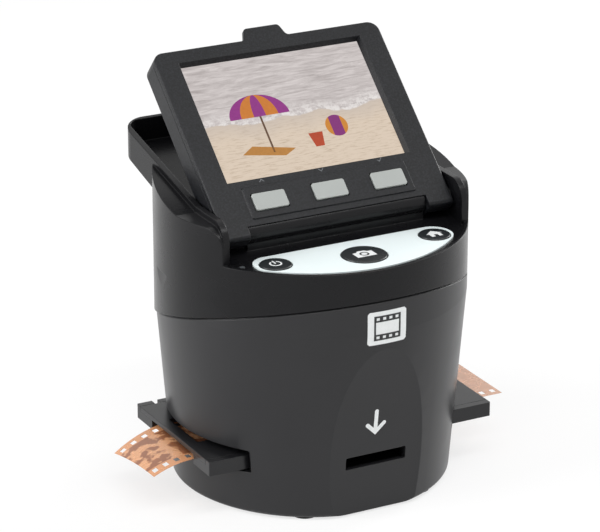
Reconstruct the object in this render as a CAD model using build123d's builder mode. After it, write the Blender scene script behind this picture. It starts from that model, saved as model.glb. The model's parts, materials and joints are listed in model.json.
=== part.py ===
from build123d import *
import os
from math import atan2, cos, degrees, radians, sin, sqrt, tan

# A desktop film scanner: a round two-part body, a display that folds up out of a tray in its top,
# a button panel in front of the display, a card slot in a flat on the front and a holder with a
# strip of film that goes through the body from side to side.
# Millimetres. Z is up, the front looks along -Y, and the origin is the middle of the body on the table.
os.makedirs("parts", exist_ok=True)

# ---------------------------------------------------------------- general fits
wall = 2.4  # moulded housing walls
thin_wall = 1.8  # walls of the display and the tray
fit_gap = 0.2  # between pieces that are laid or pressed into each other
slide_gap = 0.3  # beside pieces that move
pin_gap = 0.05  # round the hinge pins
cut = 5.0  # how far a cutting tool reaches past what it cuts

# ---------------------------------------------------------------- round body
body_radius = 59.5  # of the straight upper shell
base_inset = 6.0  # the tapered lower shell is this much narrower at the bottom, each side
taper_height = 75.0  # where the taper reaches the upper shell's radius
foot_height = 0.8  # the shell's bottom edge above the table
base_round = 1.6  # rounding of the bottom edge
seam_height = 71.7  # of the slanted joint between the shells, on the body's axis
seam_angle = 15.1  # the joint climbs towards the front
seam_groove = 0.35  # depth of the shadow line along the joint, and half its height

# ---------------------------------------------------------------- flat on the front
flat_inset = 8.9  # depth of the flat behind the body's radius at the table
flat_waist_inset = 6.4  # half-way up
flat_runout = 0.3  # it ends this far outside the round wall
flat_height = 72.0
slot_width = 25.4
slot_height = 5.0
slot_level = 19.4  # bottom of the card slot

# ---------------------------------------------------------------- display and its hinge
hinge_y = -17.7
hinge_z = 106.9
display_half = 5.1  # half the display's thickness, with the hinge's axis in its middle
barrel_radius = 4.5  # of the fixed barrel between the display's knuckles
barrel_half = 37.3
barrel_web = 3.0  # thickness of the web under the barrel
knuckle_corner = 1.6  # rounding of the knuckles' front edge
lip_drop = 0.4  # the display's front ends this far below the hinge, over the barrel
display_angle = 41.8  # as it stands
closed_angle = 14.5  # folded into its tray
display_width = 96.2
display_corner = 4.5
back_round = 3.0
bezel_thickness = 2.2
window_width = 75.3
window_height = 51.0
window_margin = 19.5  # from the hinge up to the window
window_top_margin = 6.7  # from the window up to the display's top edge
window_bevel = 1.1
edge_line = 0.3  # chamfer that draws the joint line between the display's two shells
tab_width = 18.4
tab_height = 5.1
tab_slant = 1.8  # each side
tab_root = 1.6
pin_radius = 2.0
pin_depth = 6.3  # the pin's length inside the barrel
washer_radius = 3.8
washer_thickness = 0.5
glass_thickness = 0.7
backlight_thickness = 2.6
panel_edge = 2.2  # rim of the screen behind the bezel
board = 1.2  # circuit boards
display_board_gap = 0.6

# ---------------------------------------------------------------- buttons under the screen
key_width = 13.6
key_height = 7.0
key_corner = 0.9
key_pitch = 25.0
key_level = 8.5  # middle of the buttons above the hinge, along the display
key_proud = 0.6
key_travel = 0.6
key_flange = 1.0  # thickness of the flange, and how much wider than the button's hole it is
key_field_width = 69.0
key_field_bottom = 1.9
key_field_top = 15.5
key_field_height = 0.5  # the field round the buttons stands above the bezel
key_well_width = 71.0
key_well_bottom = 5.9
switch_size = 5.0

# ---------------------------------------------------------------- tray, cheeks and shoulder
tray_width = 102.6
tray_back_wall = 1.5
tray_corner = 10.0
tray_inner_corner = 5.0
rim_back = 130.1  # height of the rim at the back wall
rim_angle = 12.4
rim_break_y = -6.0  # where the rim turns level
cheek_front = 29.2  # distance of the cheeks' front from the axis
cheek_round = 7.5
shoulder_drop = 2.2  # the round body's top lies lower than the rim
cheek_gap = 0.8  # each side of the display
tray_clearance = 0.45  # under the folded display
finger_notch_width = 27.0
finger_notch_depth = 2.4
scoop_height = 82.0  # lower tip of the finger scoops
scoop_angle = 3.3
scoop_turn = 7.7  # the scoops lie a little behind the middle of the sides
scoop_lip = 1.6
scoop_width = 44.0

# ---------------------------------------------------------------- control panel
panel_level = 99.0
panel_rim = 1.0  # the shell's edge stands above the panel
panel_rim_width = 1.5
overlay_inset = 3.9  # the overlay's front edge inside the body's radius
overlay_half = 41.0
overlay_back = 26.3
overlay_thickness = 0.6
overlay_corner = 7.2
small_button = 6.0  # radius
large_button = 8.6
side_button_inset = 10.8  # middle of the small buttons inside the body's radius
side_button_angle = 43.3  # either side of the front
middle_button_inset = 17.7
button_proud = 0.45
button_travel = 0.6
light_inset = 5.4
light_angle = 55.5
light_radius = 1.0
switch_level = 7.6  # the switch board below the panel's surface
flange_height = 1.4  # the flange that keeps a button in the panel
flange_edge = 0.8  # the flange is wider than the button by this
stem_radius = 1.6
switch_body = 1.6
plunger_height = 0.8

# ---------------------------------------------------------------- film holder, film and tunnel
holder_bottom = 18.8
holder_height = 5.6
holder_width = 62.8
holder_left = -59.1
holder_right = 62.2
holder_edge = 0.6
lid_width = 56.4
lid_thickness = 1.8
frame_width = 36.4
frame_height = 24.4
frame_pitch = 38.0
film_width = 35.0
film_thickness = 0.2
film_left = -56.0  # where the film starts to curl
film_right = 76.1
film_curl_radius = 40.0
film_curl_angle = 30.0
film_lift = 1.55  # film above the holder's underside
film_channel = 35.8
mouth_length = 12.0  # flared ends of the film's channel
holder_floor = 1.4
notch_start = 6.3  # a notch in the holder's back edge, from its left end
notch_length = 2.4
notch_reach = 4.0
guide_leg_x = 36.0
tunnel_width = 68.0
tunnel_bottom = 18.0
tunnel_height = 9.0
guide_wall = 1.8
rail_y = 26.0
rail_width = 3.0

# ---------------------------------------------------------------- inside
cover_thickness = 2.2
post_radius = 3.5
post_x = 24.0
post_y = 40.5
post_split = 60.0  # the lower posts meet the upper ones here
rib_thickness = 1.6
screw_radius = 1.45
screw_head_radius = 2.8
screw_head_height = 2.0
screw_seat = 8.0  # the head's seat below the top of the lower posts
screw_grip = 8.0  # thread in the upper posts
boss_radius = 3.0
boss_circle = 44.5
boss_height = 9.0
foot_radius = 5.0
lamp_width = 44.0
lamp_depth = 34.0
lamp_board = 1.6
diffuser_thickness = 2.0
tower_height = 30.0
tower_top = 26.0
lens_radius = 8.5
lens_length = 18.0
lens_rise = 6.0
sensor_board = 34.0
main_board_width = 40.4
main_board_height = 44.0
main_board_y = 42.4
main_board_level = 13.0  # above the cover's screw bosses
socket_level = 36.0
usb_x = -8.5
usb_width = 8.0
usb_height = 3.9
video_x = 8.0
video_width = 11.4
video_height = 3.6
card_socket_width = 29.0
card_socket_height = 7.0
card_socket_depth = 12.7
card_socket_front = 48.7  # distance of its mouth from the axis

# ---------------------------------------------------------------- planes and lines that pieces share
turn = radians(display_angle)
hinge_point = (0, hinge_y, hinge_z)
display_up = (0, cos(turn), sin(turn))
display_out = (0, -sin(turn), cos(turn))
# Local X is across, local Y runs up the display from the hinge, and the normal looks out of the screen.
display_plane = Plane(origin=hinge_point, x_dir=(1, 0, 0), z_dir=display_out)
# Local X runs up the display from the hinge, and local Y looks out of the screen.
display_side = Plane(origin=hinge_point, x_dir=display_up, z_dir=(1, 0, 0))
bezel_back = display_half - bezel_thickness
display_length = window_margin + window_height + window_top_margin  # from the hinge to the top edge
reach = body_radius + cut
base_radius = body_radius - base_inset
overlay_radius = body_radius - overlay_inset

seam_slope = tan(radians(seam_angle))
rim_slope = tan(radians(rim_angle))
floor_slope = tan(radians(closed_angle))
rim_break_z = rim_back - rim_slope * (body_radius - rim_break_y)
rim_top = panel_level + panel_rim
tray_half = tray_width / 2
tray_inner_half = display_width / 2 + cheek_gap
tray_back = body_radius - tray_back_wall
floor_drop = (display_half + tray_clearance) / cos(radians(closed_angle))
floor_start = hinge_y - (hinge_z - floor_drop - panel_level) / floor_slope


def seam_z(y):
    """Height of the slanted joint between the two shells."""
    return seam_height - seam_slope * y


def floor_z(y, below=0.0):
    """Height of the tray's sloping floor, or of a face below it, measured square to the floor."""
    return hinge_z + floor_slope * (y - hinge_y) - floor_drop - below / cos(radians(closed_angle))


def flat_profile(inset):
    """Side view of the space in front of the flat on the front, moved inwards by a wall."""
    with BuildSketch(Plane.YZ) as profile:
        with BuildLine():
            foot = (inset + flat_inset - body_radius, 0)
            waist = (inset + flat_waist_inset - body_radius, flat_height / 2)
            top = (inset - flat_runout - body_radius, flat_height)
            ThreePointArc(foot, waist, top)
            Polyline(top, (-reach, flat_height), (-reach, -cut), (foot[0], -cut), foot)
        make_face()
    return profile.sketch


def body_section(inset, bottom):
    """Half section of the round body: a taper below and a straight wall above."""
    top = seam_z(-reach) + cut
    low_radius = base_radius - inset
    with BuildSketch(Plane.XZ) as section:
        with BuildLine():
            Polyline(
                (0, bottom),
                (low_radius, bottom),
                (body_radius - inset, taper_height),
                (body_radius - inset, top),
                (0, top),
                close=True,
            )
        make_face()
    return section.sketch


def below_seam():
    """Side view of all that lies under the slanted joint."""
    with BuildSketch(Plane.YZ) as profile:
        with BuildLine():
            Polyline(
                (-reach, -cut),
                (reach, -cut),
                (reach, seam_z(reach)),
                (-reach, seam_z(-reach)),
                close=True,
            )
        make_face()
    return profile.sketch


# The ring that is cut from both shells to leave a shadow line along their joint.
with BuildPart() as shadow_line:
    with BuildSketch(Plane.YZ):
        with BuildLine():
            Polyline(
                (-reach, seam_z(-reach) - seam_groove),
                (reach, seam_z(reach) - seam_groove),
                (reach, seam_z(reach) + seam_groove),
                (-reach, seam_z(-reach) + seam_groove),
                close=True,
            )
        make_face()
    extrude(amount=reach, both=True)
    with BuildSketch():
        Circle(body_radius - seam_groove - fit_gap)
    extrude(amount=seam_z(-reach) + cut, mode=Mode.SUBTRACT)

post_places = [(x, y) for x in (-post_x, post_x) for y in (-post_y, post_y)]
cover_top = foot_height + cover_thickness
side_button_x = (body_radius - side_button_inset) * sin(radians(side_button_angle))
side_button_y = (side_button_inset - body_radius) * cos(radians(side_button_angle))
button_places = {
    "power_button": (-side_button_x, side_button_y, small_button),
    "capture_button": (0, middle_button_inset - body_radius, large_button),
    "home_button": (side_button_x, side_button_y, small_button),
}
light_x = (light_inset - body_radius) * sin(radians(light_angle))
light_y = (light_inset - body_radius) * cos(radians(light_angle))

# ---------------------------------------------------------------- lower housing
# The hollow inside the lower shell, less the screw posts, their ribs and the bosses for the cover.
with BuildPart() as lower_hollow:
    revolve(body_section(wall, -cut), axis=Axis.Z)
    extrude(flat_profile(wall), amount=reach, both=True, mode=Mode.SUBTRACT)
    with BuildSketch(Plane.XY.offset(cover_top)):
        with Locations(*post_places):
            Circle(post_radius)
        for x, y in post_places:
            with Locations(Location((x, y), degrees(atan2(y, x)))):
                Rectangle(body_radius, rib_thickness, align=(Align.MIN, Align.CENTER))
    extrude(amount=post_split - cover_top, mode=Mode.SUBTRACT)
    with BuildSketch(Plane.XY.offset(cover_top)):
        with PolarLocations(boss_circle, 4):
            Circle(boss_radius)
        with PolarLocations(boss_circle, 4):
            Rectangle(body_radius, rib_thickness, align=(Align.MIN, Align.CENTER))
    extrude(amount=boss_height, mode=Mode.SUBTRACT)

with BuildPart() as lower_housing:
    revolve(body_section(0, foot_height), axis=Axis.Z)
    fillet(edges().filter_by(GeomType.CIRCLE).group_by(Axis.Z)[0], radius=base_round)
    extrude(flat_profile(0), amount=reach, both=True, mode=Mode.SUBTRACT)
    extrude(below_seam(), amount=reach, both=True, mode=Mode.INTERSECT)
    add(shadow_line.part, mode=Mode.SUBTRACT)
    add(lower_hollow.part, mode=Mode.SUBTRACT)
    # tunnel for the film holder
    with BuildSketch(Plane.YZ):
        with Locations((0, tunnel_bottom + tunnel_height / 2)):
            RectangleRounded(tunnel_width, tunnel_height, radius=holder_edge)
    extrude(amount=reach, both=True, mode=Mode.SUBTRACT)
    # card slot in the flat
    with BuildSketch(Plane.XZ):
        with Locations((0, slot_level + slot_height / 2)):
            RectangleRounded(slot_width, slot_height, radius=holder_edge)
    extrude(amount=reach, mode=Mode.SUBTRACT)
    # sockets at the back
    with BuildSketch(Plane.XZ):
        with Locations((usb_x, socket_level)):
            RectangleRounded(usb_width + 2 * slide_gap, usb_height + 2 * slide_gap, radius=holder_edge)
        with Locations((video_x, socket_level)):
            RectangleRounded(video_width + 2 * slide_gap, video_height + 2 * slide_gap, radius=holder_edge)
    extrude(amount=-reach, mode=Mode.SUBTRACT)
    # screw holes in the posts, with deep counterbores from below
    with BuildSketch(Plane.XY.offset(cover_top)):
        with Locations(*post_places):
            Circle(screw_head_radius + fit_gap)
    extrude(amount=post_split - screw_seat - cover_top, mode=Mode.SUBTRACT)
    with BuildSketch(Plane.XY.offset(post_split - screw_seat)):
        with Locations(*post_places):
            Circle(screw_radius + fit_gap)
    extrude(amount=screw_seat, mode=Mode.SUBTRACT)
    # pilot holes for the cover's screws
    with BuildSketch(Plane.XY.offset(cover_top)):
        with PolarLocations(boss_circle, 4):
            Circle(screw_radius + fit_gap)
    extrude(amount=boss_height, mode=Mode.SUBTRACT)
lower_housing.part.label = "lower_housing"
export_step(lower_housing.part, "parts/lower_housing.step")

# ---------------------------------------------------------------- upper housing
# All that lies above the floor of the tray and of the control panel, within the tray's inner walls
# and the panel's rim.
with BuildPart() as recess:
    with BuildSketch(Plane.XY.offset(panel_level - cut)):
        Circle(body_radius - panel_rim_width)
        with Locations((0, -cheek_front)):
            Rectangle(2 * reach, 2 * reach, align=(Align.CENTER, Align.MAX), mode=Mode.INTERSECT)
        with Locations((0, (tray_back - cheek_front) / 2)):
            Rectangle(2 * tray_inner_half, tray_back + cheek_front)
        fillet(vertices().group_by(Axis.Y)[-1], radius=tray_inner_corner)
    extrude(amount=2 * reach)
    with BuildSketch(Plane.YZ):
        with BuildLine():
            Polyline(
                (-reach, panel_level),
                (floor_start, panel_level),
                (reach, floor_z(reach)),
                (reach, rim_back + cut),
                (-reach, rim_back + cut),
                close=True,
            )
        make_face()
    extrude(amount=reach, both=True, mode=Mode.INTERSECT)


def scoop_tool(side, inset):
    """The space outside a finger scoop, moved inwards by a wall."""
    azimuth = radians(scoop_turn)
    tip = (side * body_radius * cos(azimuth), body_radius * sin(azimuth), scoop_height)
    lean = radians(scoop_angle)
    outward = (side * cos(azimuth) * cos(lean), sin(azimuth) * cos(lean), sin(lean))
    across = (-side * sin(azimuth), cos(azimuth), 0)
    tip_y = tip[1]
    lip = rim_back - rim_slope * (body_radius - tip_y) - shoulder_drop - scoop_lip - scoop_height
    half = scoop_width / 2
    with BuildPart() as tool:
        with BuildSketch(Plane(origin=tip, x_dir=across, z_dir=outward).offset(-inset)):
            with BuildLine():
                Polyline(
                    (-half, -cut),
                    (half, -cut),
                    (half, lip + rim_slope * half + inset),
                    (-half, lip - rim_slope * half + inset),
                    close=True,
                )
            make_face()
        extrude(amount=reach / 2)
    return tool.part


def crown_profile(top_front, front, drop, round_radius):
    """Side view of the body under the rim line, lowered by a drop, down to the slanted joint."""
    level = rim_break_z - drop
    with BuildSketch(Plane.YZ) as profile:
        with BuildLine():
            Polyline(
                (-reach, seam_z(-reach)),
                (-reach, top_front),
                (-front, top_front),
                (-front, level - round_radius),
            )
            ThreePointArc(
                (-front, level - round_radius),
                (-front + round_radius * (1 - sqrt(0.5)), level - round_radius * (1 - sqrt(0.5))),
                (-front + round_radius, level),
            )
            Polyline(
                (-front + round_radius, level),
                (rim_break_y, level),
                (reach, level + rim_slope * (reach - rim_break_y)),
                (reach, seam_z(reach)),
                (-reach, seam_z(-reach)),
            )
        make_face()
    return profile.sketch


# The hollow under the panel and the tray, with a pocket on each side of the tray, less the posts.
with BuildPart() as upper_hollow:
    with BuildSketch():
        Circle(body_radius - wall)
    extrude(amount=2 * reach)
    with BuildSketch(Plane.YZ):
        with BuildLine():
            Polyline(
                (-reach, -cut),
                (-reach, panel_level - wall),
                (floor_start + wall * floor_slope, panel_level - wall),
                (reach, floor_z(reach, wall)),
                (reach, -cut),
                close=True,
            )
        make_face()
    extrude(amount=reach, both=True, mode=Mode.INTERSECT)
with BuildPart() as side_pockets:
    with BuildSketch():
        with Locations((0, rim_break_y)):
            Rectangle(2 * reach, reach, align=(Align.CENTER, Align.MIN))
        Circle(body_radius - wall, mode=Mode.INTERSECT)
        Rectangle(tray_width, 2 * reach, mode=Mode.SUBTRACT)
    extrude(amount=2 * reach)
    extrude(crown_profile(rim_top, cheek_front, shoulder_drop + wall, cheek_round), amount=reach, both=True,
            mode=Mode.INTERSECT)
switch_board_level = panel_level - switch_level
pillar_places = [(-19.0, -46.0), (19.0, -46.0), (-15.0, -31.5), (15.0, -31.5)]
with BuildPart() as upper_inside:
    add(upper_hollow.part)
    add(side_pockets.part)
    for side in (-1, 1):
        add(scoop_tool(side, wall), mode=Mode.SUBTRACT)
    with BuildSketch(Plane.XY.offset(post_split)):
        with Locations(*post_places):
            Circle(post_radius)
    extrude(amount=2 * reach, mode=Mode.SUBTRACT)
    with BuildSketch(Plane.XY.offset(switch_board_level)):
        with Locations(*pillar_places):
            Circle(boss_radius / 2)
    extrude(amount=2 * reach, mode=Mode.SUBTRACT)

with BuildPart() as tray_block:
    with BuildSketch(Plane.XY.offset(panel_level - wall)):
        with Locations((0, (body_radius - cheek_front) / 2)):
            Rectangle(tray_width, body_radius + cheek_front)
        fillet(vertices().group_by(Axis.Y)[-1], radius=tray_corner)
    extrude(amount=2 * reach)
    extrude(crown_profile(rim_top, cheek_front, 0, cheek_round), amount=reach, both=True, mode=Mode.INTERSECT)
    with BuildSketch(Plane.YZ):
        with BuildLine():
            Polyline(
                (0, floor_z(0, thin_wall)),
                (reach, floor_z(reach, thin_wall)),
                (reach, -cut),
                (0, -cut),
                close=True,
            )
        make_face()
    extrude(amount=reach, both=True, mode=Mode.SUBTRACT)

with BuildPart() as upper_housing:
    with BuildSketch():
        Circle(body_radius)
    extrude(amount=2 * reach)
    extrude(crown_profile(rim_top, cheek_front, shoulder_drop, cheek_round), amount=reach, both=True,
            mode=Mode.INTERSECT)
    add(tray_block.part)
    for side in (-1, 1):
        add(scoop_tool(side, 0), mode=Mode.SUBTRACT)
    add(recess.part, mode=Mode.SUBTRACT)
    add(upper_inside.part, mode=Mode.SUBTRACT)
    add(shadow_line.part, mode=Mode.SUBTRACT)
    # the posts reach down to meet the lower ones
    with BuildSketch(Plane.XY.offset(post_split)):
        with Locations(*post_places):
            Circle(post_radius)
    extrude(amount=seam_z(-body_radius) - post_split)
    # holes for the buttons and the light
    with BuildSketch(Plane.XY.offset(panel_level + cut)):
        for x, y, radius in button_places.values():
            with Locations((x, y)):
                Circle(radius + slide_gap)
        with Locations((light_x, light_y)):
            Circle(light_radius + pin_gap)
    extrude(amount=-wall - 2 * cut, mode=Mode.SUBTRACT)
    # the fixed barrel between the display's knuckles, on a web from the floor below it
    with BuildSketch(Plane.YZ):
        with Locations((hinge_y, hinge_z)):
            Circle(barrel_radius)
        with Locations((hinge_y + fit_gap, panel_level)):
            Rectangle(barrel_web, hinge_z - panel_level, align=(Align.MAX, Align.MIN))
    extrude(amount=barrel_half, both=True)
    # a bore for the hinge pins and the cable, through the barrel and both cheeks
    with Locations(Location(hinge_point, (0, 90, 0))):
        Cylinder(pin_radius + pin_gap, tray_width + 2 * fit_gap, mode=Mode.SUBTRACT)
    # threads in the posts
    with BuildSketch(Plane.XY.offset(post_split)):
        with Locations(*post_places):
            Circle(screw_radius + fit_gap)
    extrude(amount=screw_grip + fit_gap, mode=Mode.SUBTRACT)
    # notch in the back rim for the display's lift tab
    with BuildSketch(Plane.XZ.offset(-tray_back + cut)):
        with Locations((0, rim_back)):
            Rectangle(finger_notch_width, 2 * finger_notch_depth)
    extrude(amount=-reach, mode=Mode.SUBTRACT)
upper_housing.part.label = "upper_housing"
export_step(upper_housing.part, "parts/upper_housing.step")

# ---------------------------------------------------------------- cover, feet and screws
with BuildPart() as base_cover:
    with BuildSketch(Plane.XY.offset(foot_height)):
        Circle(base_radius - wall - fit_gap)
    extrude(amount=cover_thickness)
    extrude(flat_profile(wall + fit_gap), amount=reach, both=True, mode=Mode.SUBTRACT)
    with BuildSketch(Plane.XY.offset(foot_height)):
        with Locations(*post_places):
            Circle(screw_head_radius + fit_gap)
        with PolarLocations(boss_circle, 4):
            Circle(screw_radius + fit_gap)
    extrude(amount=cover_thickness, mode=Mode.SUBTRACT)
    with BuildSketch(Plane.XY.offset(foot_height)):
        with PolarLocations(boss_circle, 4):
            Circle(screw_head_radius + fit_gap)
    extrude(amount=cover_thickness / 2, mode=Mode.SUBTRACT)
base_cover.part.label = "base_cover"
export_step(base_cover.part, "parts/base_cover.step")

# Four round feet with a plug that goes up into the screw holes of the cover.
with BuildPart() as rubber_feet:
    with BuildSketch():
        with Locations(*post_places):
            Circle(foot_radius)
    extrude(amount=foot_height)
    with BuildSketch(Plane.XY.offset(foot_height)):
        with Locations(*post_places):
            Circle(screw_head_radius)
    extrude(amount=cover_thickness * 0.8)
rubber_feet.part.label = "rubber_feet"
export_step(rubber_feet.part, "parts/rubber_feet.step")

with BuildPart() as cover_screws:
    with BuildSketch(Plane.XY.offset(foot_height + cover_thickness / 2 - screw_head_height / 2)):
        with PolarLocations(boss_circle, 4):
            Circle(screw_head_radius)
    extrude(amount=screw_head_height / 2)
    with BuildSketch(Plane.XY.offset(foot_height + cover_thickness / 2)):
        with PolarLocations(boss_circle, 4):
            Circle(screw_radius)
    extrude(amount=boss_height)
cover_screws.part.label = "cover_screws"
export_step(cover_screws.part, "parts/cover_screws.step")

# The long-reach screws that pull both shells together, seen from below at the bottom of the posts' bores.
seat_level = post_split - screw_seat
with BuildPart() as housing_screws:
    with BuildSketch(Plane.XY.offset(seat_level - screw_head_height)):
        with Locations(*post_places):
            Circle(screw_head_radius)
            RegularPolygon(screw_radius, 6, mode=Mode.SUBTRACT)
    extrude(amount=screw_head_height)
    with BuildSketch(Plane.XY.offset(seat_level)):
        with Locations(*post_places):
            Circle(screw_radius)
    extrude(amount=screw_seat + screw_grip)
housing_screws.part.label = "housing_screws"
export_step(housing_screws.part, "parts/housing_screws.step")

# ---------------------------------------------------------------- control panel
overlay_top = panel_level + overlay_thickness
with BuildPart() as panel_overlay:
    with BuildSketch(Plane.XY.offset(panel_level)):
        Circle(overlay_radius)
        with Locations((0, -overlay_back)):
            Rectangle(2 * overlay_half, overlay_radius, align=(Align.CENTER, Align.MAX), mode=Mode.INTERSECT)
        fillet(vertices(), radius=overlay_corner)
        for x, y, radius in button_places.values():
            with Locations((x, y)):
                Circle(radius + slide_gap, mode=Mode.SUBTRACT)
    extrude(amount=overlay_thickness)
panel_overlay.part.label = "panel_overlay"
export_step(panel_overlay.part, "parts/panel_overlay.step")

# Each button is a disc that comes up through the panel, with a flange that keeps it in and a stem
# that presses its switch.
roof_level = panel_level - wall
flange_top = roof_level - fit_gap
stem_end = switch_board_level + switch_body + plunger_height + button_travel + pin_gap
for name, (x, y, radius) in button_places.items():
    with BuildPart(Plane((x, y, flange_top))) as panel_button:
        Cylinder(radius + flange_edge, flange_height, align=(Align.CENTER, Align.CENTER, Align.MAX))
        button_rise = overlay_top + button_proud - flange_top
        Cylinder(radius, button_rise, align=(Align.CENTER, Align.CENTER, Align.MIN))
        fillet(edges().group_by(Axis.Z)[-1], radius=button_proud * 0.8)
        Cylinder(stem_radius, flange_top - stem_end, align=(Align.CENTER, Align.CENTER, Align.MAX))
    panel_button.part.label = name
    export_step(panel_button.part, f"parts/{name}.step")

# A small light pipe with a collar under the panel.
with BuildPart(Plane((light_x, light_y, roof_level))) as status_light:
    Cylinder(light_radius, wall + pin_gap, align=(Align.CENTER, Align.CENTER, Align.MIN))
    Cylinder(light_radius * 1.5, light_radius, align=(Align.CENTER, Align.CENTER, Align.MAX))
status_light.part.label = "status_light"
export_step(status_light.part, "parts/status_light.step")

# The switch board hangs on four pillars under the panel.
with BuildPart() as switch_board:
    with BuildSketch(Plane.XY.offset(switch_board_level)):
        Circle(overlay_radius - wall)
        with Locations((0, -cheek_front)):
            Rectangle(2 * overlay_half, overlay_radius, align=(Align.CENTER, Align.MAX), mode=Mode.INTERSECT)
        with Locations(*post_places):
            Circle(post_radius + fit_gap, mode=Mode.SUBTRACT)
    extrude(amount=-board)
switch_board.part.label = "switch_board"
export_step(switch_board.part, "parts/switch_board.step")

with BuildPart() as panel_switches:
    for x, y, radius in button_places.values():
        with BuildSketch(Plane((x, y, switch_board_level))):
            Rectangle(switch_size, switch_size)
        extrude(amount=switch_body)
        with BuildSketch(Plane((x, y, switch_board_level + switch_body))):
            Circle(stem_radius)
        extrude(amount=plunger_height)
panel_switches.part.label = "panel_switches"
export_step(panel_switches.part, "parts/panel_switches.step")

# ---------------------------------------------------------------- display
half_display = display_width / 2
key_hole_width = key_width + 2 * slide_gap
key_hole_height = key_height + 2 * slide_gap
key_places = [(side * key_pitch, key_level) for side in (-1, 0, 1)]
field_taper = 30.0

# The space that both shells of the display leave for the fixed barrel.
with BuildPart() as hinge_room:
    with BuildSketch(display_side):
        Circle(barrel_radius + slide_gap)
        with Locations((-lip_drop, 0)):
            Rectangle(reach, reach, align=(Align.MAX, Align.CENTER))
    extrude(amount=barrel_half + slide_gap, both=True)

# Front plate with the lift tab, the window with its sloping edge, and a raised field for the buttons.
with BuildPart() as display_bezel:
    with BuildSketch(display_plane.offset(bezel_back)) as plate:
        with Locations((0, -display_half)):
            Rectangle(display_width, display_half + display_length, align=(Align.CENTER, Align.MIN))
        with BuildLine():
            tab_end = display_length + tab_height
            Polyline(
                (-tab_width / 2, display_length),
                (tab_width / 2, display_length),
                (tab_width / 2 - tab_slant, tab_end),
                (tab_slant - tab_width / 2, tab_end),
                close=True,
            )
        make_face()
        fillet(plate.vertices().group_by(Axis.Y)[-2].sort_by(Axis.X)[1:3], radius=tab_root)
        top_line = plate.vertices().group_by(Axis.Y)[-3].sort_by(Axis.X)
        fillet([top_line[0], top_line[-1]], radius=display_corner)
        fillet(plate.vertices().group_by(Axis.Y)[-1], radius=tab_slant)
    extrude(amount=bezel_thickness)
    fillet(faces().sort_by(Axis(hinge_point, display_out))[-1].outer_wire().edges(), radius=key_corner * 0.7)
    chamfer(faces().sort_by(Axis(hinge_point, display_out))[0].outer_wire().edges(), length=edge_line)
    with BuildSketch(display_side) as side_view:
        with Locations((-display_half, 0)):
            Rectangle(reach * 2, display_half, align=Align.MIN)
        fillet(side_view.vertices().sort_by(Axis.Y)[-2:].sort_by(Axis.X)[0], radius=knuckle_corner)
    extrude(amount=half_display, both=True, mode=Mode.INTERSECT)
    with BuildSketch(display_plane.offset(display_half)):
        with Locations((0, (key_field_bottom + key_field_top) / 2)):
            RectangleRounded(key_field_width, key_field_top - key_field_bottom, radius=key_corner)
    extrude(amount=key_field_height, taper=field_taper)
    add(hinge_room.part, mode=Mode.SUBTRACT)
    with BuildSketch(display_plane.offset(bezel_back)):
        with Locations((0, window_margin + window_height / 2)):
            Rectangle(window_width, window_height)
    extrude(amount=bezel_thickness, taper=-degrees(atan2(window_bevel, bezel_thickness)), mode=Mode.SUBTRACT)
    with BuildSketch(display_plane.offset(bezel_back)):
        with Locations(*key_places):
            RectangleRounded(key_hole_width, key_hole_height, radius=key_corner)
    extrude(amount=bezel_thickness + key_field_height, mode=Mode.SUBTRACT)
display_bezel.part.label = "display_bezel"
export_step(display_bezel.part, "parts/display_bezel.step")

# Back shell: side view with a round lower edge, hollow above the hinge, with a bored knuckle at each end.
hollow_back = thin_wall - display_half
barrel_top = display_half + thin_wall
key_pocket = key_flange + key_travel + 2 * slide_gap
with BuildPart() as display_back_cover:
    with BuildSketch(display_plane.offset(-2 * display_half)) as back_outline:
        with Locations((0, display_length)):
            Rectangle(display_width, display_length + 2 * display_half, align=(Align.CENTER, Align.MAX))
        fillet(back_outline.vertices().group_by(Axis.Y)[-1], radius=display_corner)
    extrude(amount=4 * display_half)
    with BuildSketch(display_side):
        with BuildLine():
            Polyline((-display_half, 0), (-display_half, bezel_back), (display_length, bezel_back),
                     (display_length, back_round - display_half))
            ThreePointArc(
                (display_length, back_round - display_half),
                (display_length - back_round * (1 - sqrt(0.5)), back_round * (1 - sqrt(0.5)) - display_half),
                (display_length - back_round, -display_half),
            )
            Line((display_length - back_round, -display_half), (0, -display_half))
            ThreePointArc(
                (0, -display_half),
                (-display_half * sqrt(0.5), -display_half * sqrt(0.5)),
                (-display_half, 0),
            )
        make_face()
    extrude(amount=half_display, both=True, mode=Mode.INTERSECT)
    add(hinge_room.part, mode=Mode.SUBTRACT)
    with BuildSketch(display_plane.offset(hollow_back)):
        with Locations((0, (display_length - thin_wall + barrel_top) / 2)):
            Rectangle(display_width - 2 * thin_wall, display_length - thin_wall - barrel_top)
        with Locations((0, key_well_bottom)):
            Rectangle(key_well_width, barrel_top - key_well_bottom + cut, align=(Align.CENTER, Align.MIN))
    extrude(amount=2 * display_half, mode=Mode.SUBTRACT)
    with BuildSketch(display_plane.offset(bezel_back)):
        with Locations(*key_places):
            Rectangle(key_hole_width + 2 * key_flange, key_hole_height)
    extrude(amount=-key_pocket, mode=Mode.SUBTRACT)
    with Locations(Location(hinge_point, (0, 90, 0))):
        Cylinder(pin_radius + pin_gap, 2 * display_width, mode=Mode.SUBTRACT)
display_back_cover.part.label = "display_back_cover"
export_step(display_back_cover.part, "parts/display_back_cover.step")

# The screen is a thin glass on a metal-backed light unit, held behind the window.
screen_width = window_width + 2 * panel_edge
screen_height = window_height + 2 * panel_edge
screen_middle = window_margin + window_height / 2
with BuildPart() as screen_glass:
    with BuildSketch(display_plane.offset(bezel_back)):
        with Locations((0, screen_middle)):
            Rectangle(screen_width, screen_height)
    extrude(amount=-glass_thickness)
screen_glass.part.label = "screen_glass"
export_step(screen_glass.part, "parts/screen_glass.step")

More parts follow.
